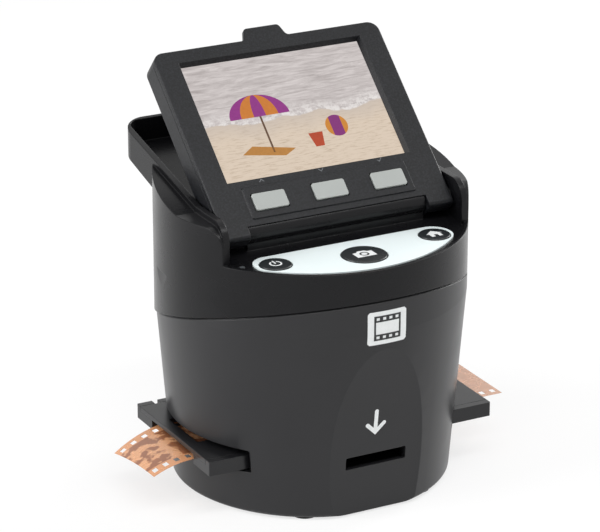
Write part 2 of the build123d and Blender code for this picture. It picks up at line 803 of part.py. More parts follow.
with BuildPart() as screen_backlight:
    with BuildSketch(display_plane.offset(bezel_back - glass_thickness)):
        with Locations((0, screen_middle)):
            Rectangle(screen_width, screen_height)
    extrude(amount=-backlight_thickness)
screen_backlight.part.label = "screen_backlight"
export_step(screen_backlight.part, "parts/screen_backlight.step")

# The display's board lies between the light unit and the back shell.
display_board_back = hollow_back + display_board_gap
with BuildPart() as display_board:
    with BuildSketch(display_plane.offset(display_board_back)):
        with Locations((0, screen_middle)):
            Rectangle(screen_width, screen_height)
        with Locations((0, key_well_bottom + fit_gap)):
            Rectangle(
                key_well_width - 2 * fit_gap, screen_middle - key_well_bottom, align=(Align.CENTER, Align.MIN)
            )
    extrude(amount=board)
display_board.part.label = "display_board"
export_step(display_board.part, "parts/display_board.step")

# Grey buttons with a flange behind the bezel and a rib that presses the switch.
key_flange_front = bezel_back - fit_gap
key_flange_back = key_flange_front - key_flange
display_board_front = display_board_back + board
key_switch_top = key_flange_back - key_travel - pin_gap
for number, (x, u) in enumerate(key_places, start=1):
    with BuildPart() as menu_button:
        with BuildSketch(display_plane.offset(key_flange_back)):
            with Locations((x, u)):
                Rectangle(key_hole_width + key_flange, key_height)
        extrude(amount=key_flange)
        with BuildSketch(display_plane.offset(key_flange_front)):
            with Locations((x, u)):
                RectangleRounded(key_width, key_height, radius=key_corner)
        extrude(amount=display_half + key_field_height + key_proud - key_flange_front)
        key_face = faces().sort_by(Axis(hinge_point, display_out))[-1]
        fillet(key_face.edges(), radius=key_proud * 0.4)
    menu_button.part.label = f"menu_button_{number}"
    export_step(menu_button.part, f"parts/menu_button_{number}.step")

with BuildPart() as menu_switches:
    with BuildSketch(display_plane.offset(display_board_front)):
        with Locations(*key_places):
            Rectangle(switch_size, switch_size)
    extrude(amount=switch_body)
    with BuildSketch(display_plane.offset(display_board_front + switch_body)):
        with Locations(*key_places):
            Circle(stem_radius)
    extrude(amount=key_switch_top - display_board_front - switch_body)
menu_switches.part.label = "menu_switches"
export_step(menu_switches.part, "parts/menu_switches.step")

# A steel pin on each side, pressed into cheek and barrel, turns in the bore of the display's knuckle. A
# friction washer lies between cheek and knuckle.
for name, side in (("hinge_pin_left", -1), ("hinge_pin_right", 1)):
    with BuildPart(Plane((side * (barrel_half - pin_depth), hinge_y, hinge_z), z_dir=(side, 0, 0))) as pin:
        pin_length = tray_half - barrel_half + pin_depth
        Cylinder(pin_radius, pin_length, align=(Align.CENTER, Align.CENTER, Align.MIN))
    pin.part.label = name
    export_step(pin.part, f"parts/{name}.step")

with BuildPart() as hinge_washers:
    for side in (-1, 1):
        with BuildSketch(Plane((side * tray_inner_half, hinge_y, hinge_z), z_dir=(-side, 0, 0))):
            Circle(washer_radius)
            Circle(pin_radius + pin_gap, mode=Mode.SUBTRACT)
        extrude(amount=washer_thickness)
hinge_washers.part.label = "hinge_washers"
export_step(hinge_washers.part, "parts/hinge_washers.step")

# ---------------------------------------------------------------- film holder and film
holder_top = holder_bottom + holder_height
holder_length = holder_right - holder_left
holder_middle = (holder_left + holder_right) / 2
lid_bottom = holder_top - lid_thickness
channel_floor = holder_bottom + holder_floor
frame_places = [(holder_middle + step * frame_pitch, 0) for step in (-1, 0, 1)]
holder_plane = Plane.XY.offset(holder_bottom)

# The holder's lower half: a tray with a channel for the film, windows for the pictures, flared
# mouths, a recess for the lid, and index notches along its back edge.
with BuildPart() as film_holder_base:
    with BuildSketch(holder_plane):
        with Locations((holder_middle, 0)):
            Rectangle(holder_length, holder_width)
    extrude(amount=holder_height)
    fillet(edges().filter_by(Axis.Z), radius=holder_edge)
    with BuildSketch(Plane.XY.offset(lid_bottom)):
        with Locations((holder_middle, 0)):
            Rectangle(holder_length + cut, lid_width + 2 * fit_gap)
    extrude(amount=lid_thickness + cut, mode=Mode.SUBTRACT)
    with BuildSketch(Plane.XY.offset(channel_floor)):
        with Locations((holder_middle, 0)):
            Rectangle(holder_length + cut, film_channel)
    extrude(amount=holder_height, mode=Mode.SUBTRACT)
    with BuildSketch(holder_plane):
        with Locations(*frame_places):
            Rectangle(frame_width, frame_height)
    extrude(amount=holder_height, mode=Mode.SUBTRACT)
    with BuildSketch(Plane.XZ):
        with BuildLine():
            Polyline(
                (holder_left - cut, holder_bottom - cut),
                (film_left, holder_bottom - cut),
                (film_left, channel_floor + cut),
                (holder_left - cut, channel_floor + cut),
                close=True,
            )
        make_face()
    extrude(amount=film_channel / 2, both=True, mode=Mode.SUBTRACT)
    with BuildSketch(holder_plane):
        with Locations((holder_left + notch_start, holder_width / 2)):
            Rectangle(notch_length, 2 * notch_reach, align=(Align.MIN, Align.CENTER))
    extrude(amount=holder_height, mode=Mode.SUBTRACT)
film_holder_base.part.label = "film_holder_base"
export_step(film_holder_base.part, "parts/film_holder_base.step")

# The lid snaps into the base. Ribs beside the windows hold the film's edges down, clear of the mouths.
film_bottom = holder_bottom + film_lift
rib_bottom = film_bottom + film_thickness + slide_gap
with BuildPart() as film_holder_lid:
    with BuildSketch(Plane.XY.offset(lid_bottom)):
        with Locations((holder_middle, 0)):
            Rectangle(holder_length, lid_width)
    extrude(amount=lid_thickness)
    with BuildSketch(Plane.XY.offset(rib_bottom)):
        with Locations((holder_middle, 0)):
            Rectangle(holder_length - 2 * mouth_length, film_channel - 2 * fit_gap)
            Rectangle(holder_length, frame_height, mode=Mode.SUBTRACT)
    extrude(amount=lid_bottom - rib_bottom)
    with BuildSketch(Plane.XY.offset(rib_bottom)):
        with Locations(*frame_places):
            Rectangle(frame_width, frame_height)
    extrude(amount=holder_height, mode=Mode.SUBTRACT)
film_holder_lid.part.label = "film_holder_lid"
export_step(film_holder_lid.part, "parts/film_holder_lid.step")

# The strip of film: flat in the channel, curling down where it hangs out on the left, with its
# sprocket holes left to the finish.
curl = radians(film_curl_angle)
with BuildPart() as film_strip:
    with BuildSketch(Plane.XZ):
        outer_curl = film_curl_radius + film_thickness
        for radius, mode in ((outer_curl, Mode.ADD), (film_curl_radius, Mode.SUBTRACT)):
            with BuildLine():
                centre = (film_left, film_bottom - film_curl_radius)
                start = (film_left, centre[1] + radius)
                middle = (film_left - radius * sin(curl / 2), centre[1] + radius * cos(curl / 2))
                end = (film_left - radius * sin(curl), centre[1] + radius * cos(curl))
                ThreePointArc(start, middle, end)
                Polyline(end, centre, start)
            make_face(mode=mode)
        with Locations((film_left, film_bottom)):
            Rectangle(film_right - film_left, film_thickness, align=Align.MIN)
    extrude(amount=film_width / 2, both=True)
film_strip.part.label = "film_strip"
export_step(film_strip.part, "parts/film_strip.step")

# ---------------------------------------------------------------- tunnel, lamp and camera inside
tunnel_top = tunnel_bottom + tunnel_height
guide_bottom = tunnel_bottom - guide_wall
guide_top = tunnel_top + guide_wall
# A flat tube from side to side that the holder runs in, on two rails, with windows for the light.
with BuildPart() as film_guide:
    with BuildSketch(Plane.YZ):
        with Locations((0, tunnel_bottom + tunnel_height / 2)):
            Rectangle(tunnel_width + 2 * guide_wall, tunnel_height + 2 * guide_wall)
            Rectangle(tunnel_width, tunnel_height, mode=Mode.SUBTRACT)
        with Locations((-rail_y, tunnel_bottom), (rail_y, tunnel_bottom)):
            Rectangle(rail_width, holder_bottom - fit_gap - tunnel_bottom, align=(Align.CENTER, Align.MIN))
    extrude(amount=reach, both=True)
    with BuildSketch():
        Rectangle(frame_width + wall, frame_height + wall)
    extrude(amount=2 * reach, mode=Mode.SUBTRACT)
    revolve(body_section(wall + fit_gap, 0), axis=Axis.Z, mode=Mode.INTERSECT)
    with BuildSketch(Plane.XY.offset(cover_top)):
        with GridLocations(2 * guide_leg_x, 2 * rail_y, 2, 2):
            Circle(boss_radius)
    extrude(amount=guide_bottom - cover_top)
film_guide.part.label = "film_guide"
export_step(film_guide.part, "parts/film_guide.step")

with BuildPart() as lamp_circuit:
    with BuildSketch(Plane.XY.offset(cover_top)):
        Rectangle(lamp_width, lamp_depth)
    extrude(amount=lamp_board)
    with BuildSketch(Plane.XY.offset(cover_top + lamp_board)):
        with GridLocations(lamp_width / 4, lamp_depth / 3, 3, 2):
            Rectangle(switch_size * 0.7, switch_size * 0.7)
    extrude(amount=board)
lamp_circuit.part.label = "lamp_circuit"
export_step(lamp_circuit.part, "parts/lamp_circuit.step")

diffuser_bottom = guide_bottom - diffuser_thickness
with BuildPart() as lamp_reflector:
    with BuildSketch(Plane.XY.offset(cover_top + lamp_board)):
        Rectangle(lamp_width, lamp_depth)
    extrude(amount=diffuser_bottom - cover_top - lamp_board)
    with BuildSketch(Plane.XY.offset(diffuser_bottom)):
        Rectangle(lamp_width - thin_wall, lamp_depth - thin_wall)
    with BuildSketch(Plane.XY.offset(cover_top + lamp_board)):
        Rectangle(lamp_width * 0.8, lamp_depth * 0.8)
    loft(mode=Mode.SUBTRACT)
lamp_reflector.part.label = "lamp_reflector"
export_step(lamp_reflector.part, "parts/lamp_reflector.step")

with BuildPart() as light_diffuser:
    with BuildSketch(Plane.XY.offset(diffuser_bottom)):
        Rectangle(lamp_width, lamp_depth)
    extrude(amount=diffuser_thickness)
light_diffuser.part.label = "light_diffuser"
export_step(light_diffuser.part, "parts/light_diffuser.step")

# A dark hood narrows from the tunnel's window up to the lens.
tower_end = guide_top + tower_height
with BuildPart() as camera_hood:
    with BuildSketch(Plane.XY.offset(guide_top)):
        Rectangle(lamp_width, lamp_depth)
    with BuildSketch(Plane.XY.offset(tower_end)):
        Rectangle(tower_top, tower_top)
    loft()
    with BuildSketch(Plane.XY.offset(guide_top)):
        Rectangle(lamp_width - 2 * thin_wall, lamp_depth - 2 * thin_wall)
    with BuildSketch(Plane.XY.offset(tower_end)):
        Rectangle(tower_top - 2 * thin_wall, tower_top - 2 * thin_wall)
    loft(mode=Mode.SUBTRACT)
    with BuildSketch(Plane.XY.offset(tower_end)):
        Rectangle(tower_top, tower_top)
        Circle(lens_radius + pin_gap, mode=Mode.SUBTRACT)
    extrude(amount=-wall)
camera_hood.part.label = "camera_hood"
export_step(camera_hood.part, "parts/camera_hood.step")

lens_bottom = tower_end - lens_length + lens_rise
with BuildPart() as lens_barrel:
    with BuildSketch(Plane.XY.offset(lens_bottom)):
        Circle(lens_radius)
        Circle(lens_radius - thin_wall, mode=Mode.SUBTRACT)
    extrude(amount=lens_length)
    with BuildSketch(Plane.XY.offset(tower_end)):
        Circle(lens_radius + thin_wall)
        Circle(lens_radius - thin_wall, mode=Mode.SUBTRACT)
    extrude(amount=thin_wall)
lens_barrel.part.label = "lens_barrel"
export_step(lens_barrel.part, "parts/lens_barrel.step")

# Two lens elements, each a double-convex disc with a round rim.
lens_rim = lens_radius - thin_wall - pin_gap
with BuildPart() as lens_elements:
    for level in (lens_bottom + thin_wall, lens_bottom + lens_length / 2):
        with BuildSketch(Plane.XZ):
            with BuildLine():
                ThreePointArc((-lens_rim, level + thin_wall), (0, level), (lens_rim, level + thin_wall))
                Line((lens_rim, level + thin_wall), (lens_rim, level + 2 * thin_wall))
                ThreePointArc(
                    (lens_rim, level + 2 * thin_wall),
                    (0, level + 3 * thin_wall),
                    (-lens_rim, level + 2 * thin_wall),
                )
                Line((-lens_rim, level + 2 * thin_wall), (-lens_rim, level + thin_wall))
            make_face()
            with Locations((0, level)):
                Rectangle(2 * lens_rim, 4 * lens_rim, align=(Align.MIN, Align.CENTER), mode=Mode.INTERSECT)
        revolve(axis=Axis.Z)
lens_elements.part.label = "lens_elements"
export_step(lens_elements.part, "parts/lens_elements.step")

sensor_level = tower_end + lens_rise
with BuildPart() as sensor_circuit:
    with BuildSketch(Plane.XY.offset(sensor_level)):
        Rectangle(sensor_board, sensor_board)
    extrude(amount=board)
    with BuildSketch(Plane.XY.offset(sensor_level)):
        Rectangle(switch_size * 1.6, switch_size * 1.2)
    extrude(amount=-board)
sensor_circuit.part.label = "sensor_circuit"
export_step(sensor_circuit.part, "parts/sensor_circuit.step")

# The main board stands between the back posts and carries the sockets and the processor.
with BuildPart() as main_circuit:
    with BuildSketch(Plane.XZ.offset(-main_board_y)):
        with Locations((0, main_board_level)):
            Rectangle(main_board_width, main_board_height, align=(Align.CENTER, Align.MIN))
    extrude(amount=-board)
    with BuildSketch(Plane.XZ.offset(-main_board_y)):
        with Locations((0, socket_level)):
            Rectangle(switch_size * 2.6, switch_size * 2.6)
    extrude(amount=board)
main_circuit.part.label = "main_circuit"
export_step(main_circuit.part, "parts/main_circuit.step")

socket_start = main_board_y + board
socket_end = sqrt((body_radius - wall) ** 2 - (video_x + video_width / 2) ** 2) - wall
for name, x, width, height in (
    ("usb_socket", usb_x, usb_width, usb_height),
    ("video_socket", video_x, video_width, video_height),
):
    with BuildPart() as socket:
        with BuildSketch(Plane.XZ.offset(-socket_start)):
            with Locations((x, socket_level)):
                RectangleRounded(width, height, radius=holder_edge)
        extrude(amount=socket_start - socket_end)
        with BuildSketch(Plane.XZ.offset(-socket_end)):
            with Locations((x, socket_level)):
                RectangleRounded(width - 2 * slide_gap, height - 2 * slide_gap, radius=holder_edge / 2)
                Rectangle(width * 0.6, height * 0.3, mode=Mode.SUBTRACT)
        extrude(amount=socket_end - socket_start - board, mode=Mode.SUBTRACT)
    socket.part.label = name
    export_step(socket.part, f"parts/{name}.step")

# Card socket behind the slot, on a small board of its own.
card_level = slot_level - (card_socket_height - slot_height) / 2
with BuildPart() as card_socket:
    with BuildSketch(Plane.XZ.offset(card_socket_front)):
        with Locations((0, card_level)):
            Rectangle(card_socket_width, card_socket_height, align=(Align.CENTER, Align.MIN))
    extrude(amount=-card_socket_depth)
    with BuildSketch(Plane.XZ.offset(card_socket_front)):
        with Locations((0, slot_level + slot_height / 2)):
            Rectangle(slot_width, slot_height)
    extrude(amount=board - card_socket_depth, mode=Mode.SUBTRACT)
card_socket.part.label = "card_socket"
export_step(card_socket.part, "parts/card_socket.step")

with BuildPart() as card_circuit:
    with BuildSketch(Plane.XY.offset(card_level)):
        with Locations((0, -card_socket_front + board)):
            Rectangle(card_socket_width, card_socket_depth - board, align=(Align.CENTER, Align.MIN))
    extrude(amount=-board)
    with BuildSketch(Plane.XY.offset(card_level - board)):
        with Locations((0, -card_socket_front + board + boss_radius)):
            Rectangle(card_socket_width, boss_radius)
    extrude(amount=cover_top + boss_height - card_level + board)
card_circuit.part.label = "card_circuit"
export_step(card_circuit.part, "parts/card_circuit.step")
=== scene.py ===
import json
import math
import bpy
from mathutils import Matrix, Vector


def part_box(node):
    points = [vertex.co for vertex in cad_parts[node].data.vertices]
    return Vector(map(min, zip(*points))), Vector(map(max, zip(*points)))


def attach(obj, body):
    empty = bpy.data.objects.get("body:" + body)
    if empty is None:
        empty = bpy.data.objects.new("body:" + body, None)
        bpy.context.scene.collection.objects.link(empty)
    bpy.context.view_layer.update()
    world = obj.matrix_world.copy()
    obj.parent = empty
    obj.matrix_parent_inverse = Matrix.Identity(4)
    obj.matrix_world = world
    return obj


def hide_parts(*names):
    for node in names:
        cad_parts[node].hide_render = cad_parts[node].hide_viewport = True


# A desktop film scanner: round black body, folding display, white button panel and a film holder.
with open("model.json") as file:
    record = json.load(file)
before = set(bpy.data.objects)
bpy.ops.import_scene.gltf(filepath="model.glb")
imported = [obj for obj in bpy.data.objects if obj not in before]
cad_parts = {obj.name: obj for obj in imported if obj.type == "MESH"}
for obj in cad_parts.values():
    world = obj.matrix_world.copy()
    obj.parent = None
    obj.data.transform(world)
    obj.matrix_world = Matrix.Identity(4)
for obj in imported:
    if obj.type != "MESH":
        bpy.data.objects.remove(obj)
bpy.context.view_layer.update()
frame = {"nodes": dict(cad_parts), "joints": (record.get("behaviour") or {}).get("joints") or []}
nodes = frame["nodes"]
mm = 0.001

# ---------------------------------------------------------------- Camera
# It stands in front of the scanner's left front and looks down on it through a long lens.
bpy.ops.object.select_all(action="DESELECT")
camera_place = Vector((-0.5353, -0.9979, 0.5118))
camera_target = Vector((0.0, 0.00849, 0.07839))
camera_turn = (camera_target - camera_place).to_track_quat("-Z", "Y").to_euler()
bpy.ops.object.camera_add(location=camera_place, rotation=camera_turn)
camera = bpy.context.object
camera.data.sensor_width = 36
camera.data.lens = 191.48
camera.data.clip_start = 0.05
bpy.context.scene.camera = camera
bpy.context.scene.view_settings.view_transform = "Standard"


# ---------------------------------------------------------------- Table and backdrop
# A seamless white table top, matt, that runs on behind the scanner as the backdrop. It shows white
# to the camera and in reflections, and keeps the soft shadow under the body.
def linear(code):
    """A colour written as sRGB hex, as the linear values that the shaders use."""
    channels = [int(code[i : i + 2], 16) / 255 for i in (1, 3, 5)]
    return tuple(c / 12.92 if c <= 0.04045 else ((c + 0.055) / 1.055) ** 2.4 for c in channels) + (1.0,)


def add_node(tree, kind, inputs=None, **settings):
    """Adds a shader node, with its settings, its input values, and links where an input is a socket."""
    made = tree.nodes.new(kind)
    for name, value in settings.items():
        setattr(made, name, value)
    for name, value in (inputs or {}).items():
        if isinstance(value, bpy.types.NodeSocket):
            tree.links.new(value, made.inputs[name])
        else:
            made.inputs[name].default_value = value
    return made


def start_material(name, **sockets):
    """A material with a plain shader, its values set on the shader's own sockets."""
    material = bpy.data.materials.new(name)
    material.use_nodes = True
    shader = material.node_tree.nodes["Principled BSDF"]
    for socket, value in sockets.items():
        shader.inputs[socket.replace("_", " ")].default_value = value
    return material, material.node_tree, shader


def seen_white(tree):
    """1 where this is seen directly, in a reflection or through glass, and 0 for the light it gives."""
    seen = add_node(tree, "ShaderNodeLightPath")
    direct = add_node(tree, "ShaderNodeMath",
                      {0: seen.outputs["Is Camera Ray"], 1: seen.outputs["Is Glossy Ray"]},
                      operation="MAXIMUM")
    through = add_node(tree, "ShaderNodeMath",
                       {0: direct.outputs[0], 1: seen.outputs["Is Transmission Ray"]}, operation="MAXIMUM")
    return through.outputs[0]


bpy.ops.mesh.primitive_plane_add(size=8, location=(0, 0, 0))
table = bpy.context.object
table.name = "table"
table_paper, tree, shader = start_material("seamless paper, matt", Base_Color=linear("#FAFAFA"),
                                           Roughness=0.9)
glow_share = 0.72
share = add_node(tree, "ShaderNodeMath", {0: seen_white(tree), 1: glow_share}, operation="MULTIPLY")
glow = add_node(tree, "ShaderNodeEmission", {"Color": linear("#FFFFFF"), "Strength": 1.0})
mix = add_node(tree, "ShaderNodeMixShader",
               {0: share.outputs[0], 1: shader.outputs[0], 2: glow.outputs[0]})
tree.links.new(mix.outputs[0], tree.nodes["Material Output"].inputs["Surface"])
table.data.materials.append(table_paper)

# ---------------------------------------------------------------- Studio light
# A tall softbox at each side, a little behind, which gives the pale streaks down the body's flanks, and
# a wide, thin one in front and above for the panel and the display. Each row is the lamp's name, place,
# aim, width and height in metres, and watts.
lamps = (
    ("left softbox", (-1.4, 0.22, 0.65), (0, 0, 0.08), 0.8, 1.3, 18.0),
    ("right softbox", (1.4, 0.45, 0.6), (0, 0, 0.08), 0.6, 1.3, 15.0),
    ("top softbox", (-0.1, -0.7, 1.5), (0, 0, 0.1), 1.9, 0.35, 14.0),
)
for name, place, aim, width, height, power in lamps:
    turn = (Vector(aim) - Vector(place)).to_track_quat("-Z", "Y").to_euler()
    bpy.ops.object.light_add(type="AREA", location=place, rotation=turn)
    lamp = bpy.context.object
    lamp.name = name
    lamp.data.shape = "RECTANGLE"
    lamp.data.size = width
    lamp.data.size_y = height
    lamp.data.energy = power
world = bpy.data.worlds.new("studio")
bpy.context.scene.world = world
world.use_nodes = True
tree = world.node_tree
room_light = 0.4
level = add_node(tree, "ShaderNodeMapRange", {"Value": seen_white(tree), "To Min": room_light, "To Max": 1.0})
back = tree.nodes["Background"]
back.inputs["Color"].default_value = linear("#FFFFFF")
tree.links.new(level.outputs["Result"], back.inputs["Strength"])


# ---------------------------------------------------------------- Body shells
# Two injection-moulded ABS shells, near-black, that meet at a slanted joint and carry every other piece.
# The lower one has the fine satin of a spark-eroded mould, and the upper one is darker and glossier. The
# real grain is too fine to show, so this one is drawn about half a millimetre wide.
def satin_grain(tree, shader, grit_mm, depth_mm, strength, edge_mm=0.15):
    """A fine grain over softly rounded edges, and a slow drift for the finish's tone."""
    place = add_node(tree, "ShaderNodeTexCoord")
    grain = add_node(tree, "ShaderNodeTexNoise",
                     {"Vector": place.outputs["Object"], "Scale": 1 / (grit_mm * mm), "Detail": 3.0,
                      "Roughness": 0.6})
    rounding = add_node(tree, "ShaderNodeBevel", {"Radius": edge_mm * mm}, samples=4)
    bump = add_node(tree, "ShaderNodeBump",
                    {"Height": grain.outputs["Fac"], "Strength": strength, "Distance": depth_mm * mm,
                     "Normal": rounding.outputs["Normal"]})
    tree.links.new(bump.outputs["Normal"], shader.inputs["Normal"])
    drift = add_node(tree, "ShaderNodeTexNoise",
                     {"Vector": place.outputs["Object"], "Scale": 1 / (18 * mm), "Detail": 2.0})
    return grain, drift


def uneven_roughness(tree, shader, drift, low, high):
    """The roughness, drifting between two levels."""
    spread = add_node(tree, "ShaderNodeMapRange",
                      {"Value": drift.outputs["Fac"], "From Min": 0.3, "From Max": 0.7,
                       "To Min": low, "To Max": high})
    tree.links.new(spread.outputs["Result"], shader.inputs["Roughness"])


def tint(tree, shader, factor, first, second):
    """The base colour, between two tones."""
    colours = add_node(tree, "ShaderNodeMix", {"Factor": factor, "A": linear(first), "B": linear(second)},
                       data_type="RGBA")
    tree.links.new(colours.outputs["Result"], shader.inputs["Base Color"])


def grained_finish(name, grit_mm, depth_mm, strength, roughness, tones, edge_mm=0.15, **sockets):
    """A whole material of that grain, with its range of roughness and its two tones."""
    material, tree, shader = start_material(name, **sockets)
    _, drift = satin_grain(tree, shader, grit_mm, depth_mm, strength, edge_mm)
    uneven_roughness(tree, shader, drift, *roughness)
    tint(tree, shader, drift.outputs["Fac"], *tones)
    return material


def dress(material, *names):
    """Gives CAD nodes their material."""
    for name in names:
        for place in nodes[name].material_slots:
            place.material = material


shell_abs = grained_finish(
    "ABS, injection moulded, satin black", grit_mm=0.5, depth_mm=0.02, strength=0.1, edge_mm=0.6,
    roughness=(0.3, 0.36), tones=("#1C1C1E", "#212123"), IOR=1.53, Specular_IOR_Level=0.36,
)
dress(shell_abs, "lower_housing")

gloss_abs = grained_finish(
    "ABS, injection moulded, gloss black", grit_mm=0.5, depth_mm=0.02, strength=0.08, edge_mm=0.6,
    roughness=(0.24, 0.3), tones=("#0E0E10", "#131315"), IOR=1.53, Specular_IOR_Level=0.2,
)
dress(gloss_abs, "upper_housing")

# ---------------------------------------------------------------- Base cover, feet and screws
# A plain moulded ABS cover under the body, four soft rubber feet, and plated steel screws. The small
# black parts inside, and the hinge washers, are moulded from the same matt ABS.
cover_abs = grained_finish(
    "ABS, injection moulded, matt black", grit_mm=0.8, depth_mm=0.03, strength=0.3,
    roughness=(0.55, 0.65), tones=("#1C1C1D", "#222223"), IOR=1.53,
)
dress(cover_abs, "base_cover", "film_guide", "camera_hood", "lens_barrel", "panel_switches", "menu_switches",
      "hinge_washers", "video_socket")

foot_rubber = grained_finish(
    "silicone rubber, moulded", grit_mm=1.2, depth_mm=0.05, strength=0.4,
    roughness=(0.75, 0.85), tones=("#161617", "#1D1D1E"), IOR=1.41,
)
dress(foot_rubber, "rubber_feet")

screw_steel = grained_finish(
    "steel, zinc plated", grit_mm=0.3, depth_mm=0.01, strength=0.2,
    roughness=(0.28, 0.4), tones=("#B9B9BC", "#C8C8CA"), Metallic=1.0,
)
dress(screw_steel, "cover_screws", "housing_screws", "hinge_pin_left", "hinge_pin_right", "usb_socket")

# The card socket's steel is coloured near-black as painted shade: it stands for the shade deep inside the
# card slot, not for a finish of the steel.
socket_steel = grained_finish(
    "steel sheet, darkened as painted shade", grit_mm=0.3, depth_mm=0.01, strength=0.2,
    roughness=(0.5, 0.6), tones=("#141415", "#1B1B1C"), Metallic=1.0,
)
dress(socket_steel, "card_socket")

# ---------------------------------------------------------------- Lamp, camera and circuits inside
# Solder-masked circuit boards, a white reflector and its diffuser, a small coated glass lens, and the
# rolled metal back of the screen's light.
board_epoxy, tree, shader = start_material("glass epoxy, solder masked", Roughness=0.35, IOR=1.55)
place = add_node(tree, "ShaderNodeTexCoord")
tracks = add_node(tree, "ShaderNodeTexBrick",
                  {"Vector": place.outputs["Object"], "Scale": 1 / (6 * mm), "Color1": linear("#1C5A34"),
                   "Color2": linear("#1F6339"), "Mortar": linear("#2B7A49"), "Mortar Size": 0.03})
tree.links.new(tracks.outputs["Color"], shader.inputs["Base Color"])
dress(board_epoxy, "switch_board", "lamp_circuit", "sensor_circuit", "main_circuit", "card_circuit",
      "display_board")

white_styrene = grained_finish(
    "polystyrene, moulded white", grit_mm=0.8, depth_mm=0.02, strength=0.2,
    roughness=(0.5, 0.6), tones=("#ECECEA", "#F3F3F2"), IOR=1.59,
)
dress(white_styrene, "lamp_reflector", "light_diffuser")

lens_glass, tree, shader = start_material("optical glass, coated", Roughness=0.02, IOR=1.52,
                                          Transmission_Weight=1.0)
place = add_node(tree, "ShaderNodeTexCoord")
drift = add_node(tree, "ShaderNodeTexNoise", {"Vector": place.outputs["Object"], "Scale": 1 / (6 * mm)})
tint(tree, shader, drift.outputs["Fac"], "#E6ECFA", "#F2EEFA")
dress(lens_glass, "lens_elements")

light_tin = grained_finish(
    "aluminium, rolled sheet", grit_mm=0.6, depth_mm=0.01, strength=0.2,
    roughness=(0.35, 0.45), tones=("#BFC1C4", "#CDCED0"), Metallic=1.0,
)
dress(light_tin, "screen_backlight")

# ---------------------------------------------------------------- Button panel
# A printed polycarbonate sheet, glossy white, in the recess of the gloss-black panel, with three
# raised black buttons. Their signs are printed in white: on and off, take a picture, and home.
panel_sheet = grained_finish(
    "polycarbonate sheet, printed white", grit_mm=0.6, depth_mm=0.01, strength=0.03,
    roughness=(0.3, 0.34), tones=("#ECF7F8", "#F1FAFA"), IOR=1.58,
)
dress(panel_sheet, "panel_overlay")

button_abs = grained_finish(
    "ABS, polished black", grit_mm=0.6, depth_mm=0.01, strength=0.06,
    roughness=(0.25, 0.32), tones=("#1B1F21", "#202426"), IOR=1.53,
)
dress(button_abs, "power_button", "capture_button", "home_button")

pipe_acrylic = grained_finish(
    "acrylic light pipe, unlit", grit_mm=0.5, depth_mm=0.01, strength=0.1,
    roughness=(0.1, 0.2), tones=("#5A5E61", "#686C6F"), IOR=1.49, Transmission_Weight=0.3,
)
dress(pipe_acrylic, "status_light")


def select_only(piece):
    """Selects one piece and makes it the active one."""
    bpy.ops.object.select_all(action="DESELECT")
    piece.select_set(True)
    bpy.context.view_layer.objects.active = piece


def flat_shape(name, outlines, thickness_mm):
    """A thin flat piece with outlines in millimetres; an outline inside another one is a hole."""
    curve = bpy.data.curves.new(name, "CURVE")
    curve.dimensions = "2D"
    curve.fill_mode = "BOTH"
    curve.extrude = thickness_mm * mm / 2
    for outline in outlines:
        spline = curve.splines.new("POLY")
        spline.points.add(len(outline) - 1)
        for point, (x, y) in zip(spline.points, outline):
            point.co = (x * mm, y * mm, 0, 1)
        spline.use_cyclic_u = True
    shape = bpy.data.objects.new(name, curve)
    bpy.context.collection.objects.link(shape)
    select_only(shape)
    bpy.ops.object.convert(target="MESH")
    bpy.ops.object.mode_set(mode="EDIT")
    bpy.ops.mesh.select_all(action="SELECT")
    bpy.ops.mesh.remove_doubles(threshold=0.00001)
    bpy.ops.mesh.normals_make_consistent(inside=False)
    bpy.ops.object.mode_set(mode="OBJECT")
    return shape


def arc(radius, start, end, steps, centre=(0, 0)):
    """Points along an arc, angles in degrees."""
    turns = [math.radians(start + (end - start) * i / steps) for i in range(steps + 1)]
    return [(centre[0] + radius * math.cos(t), centre[1] + radius * math.sin(t)) for t in turns]


def lay(piece, origin, across, outward):
    """Puts a flat piece on a surface, its X across and its Z out of the surface."""
    outward = Vector(outward).normalized()
    across = (Vector(across) - outward * Vector(across).dot(outward)).normalized()
    turn = Matrix((across, outward.cross(across), outward)).transposed()
    select_only(piece)
    piece.matrix_world = Matrix.Translation(Vector(origin)) @ turn.to_4x4()
    bpy.ops.object.transform_apply(location=True, rotation=True, scale=True)


def stroke(points, width):
    """The outline of a straight or bent line of constant width, with round ends."""
    left, right = [], []
    for i, point in enumerate(points):
        before = (Vector(point) - Vector(points[max(i - 1, 0)])).normalized()
        after = (Vector(points[min(i + 1, len(points) - 1)]) - Vector(point)).normalized()
        along = (before + after).normalized()
        reach = width / 2 / max(along.dot(after if after.length else before), 0.5)
        side = Vector((-along.y, along.x)) * reach
        left.append(tuple(Vector(point) + side))
        right.append(tuple(Vector(point) - side))
    ends = []
    for tip, inner in ((points[-1], points[-2]), (points[0], points[1])):
        heading = math.degrees(math.atan2(tip[1] - inner[1], tip[0] - inner[0]))
        ends.append(arc(width / 2, heading + 80, heading - 80, 8, tip))
    return left + ends[0] + right[::-1] + ends[1]


def screen_ink(name, first, second):
    """Printed ink with a faintly uneven tone, 0.8 mm from patch to patch."""
    ink, tree, shader = start_material(name, IOR=1.5)
    place = add_node(tree, "ShaderNodeTexCoord")
    drift = add_node(tree, "ShaderNodeTexNoise",
                     {"Vector": place.outputs["Object"], "Scale": 1 / (0.8 * mm), "Detail": 2.0})
    tint(tree, shader, drift.outputs["Fac"], first, second)
    uneven_roughness(tree, shader, drift, 0.4, 0.5)
    return ink


white_ink = screen_ink("screen-printing ink, white", "#DDE0E0", "#EDEFEF")

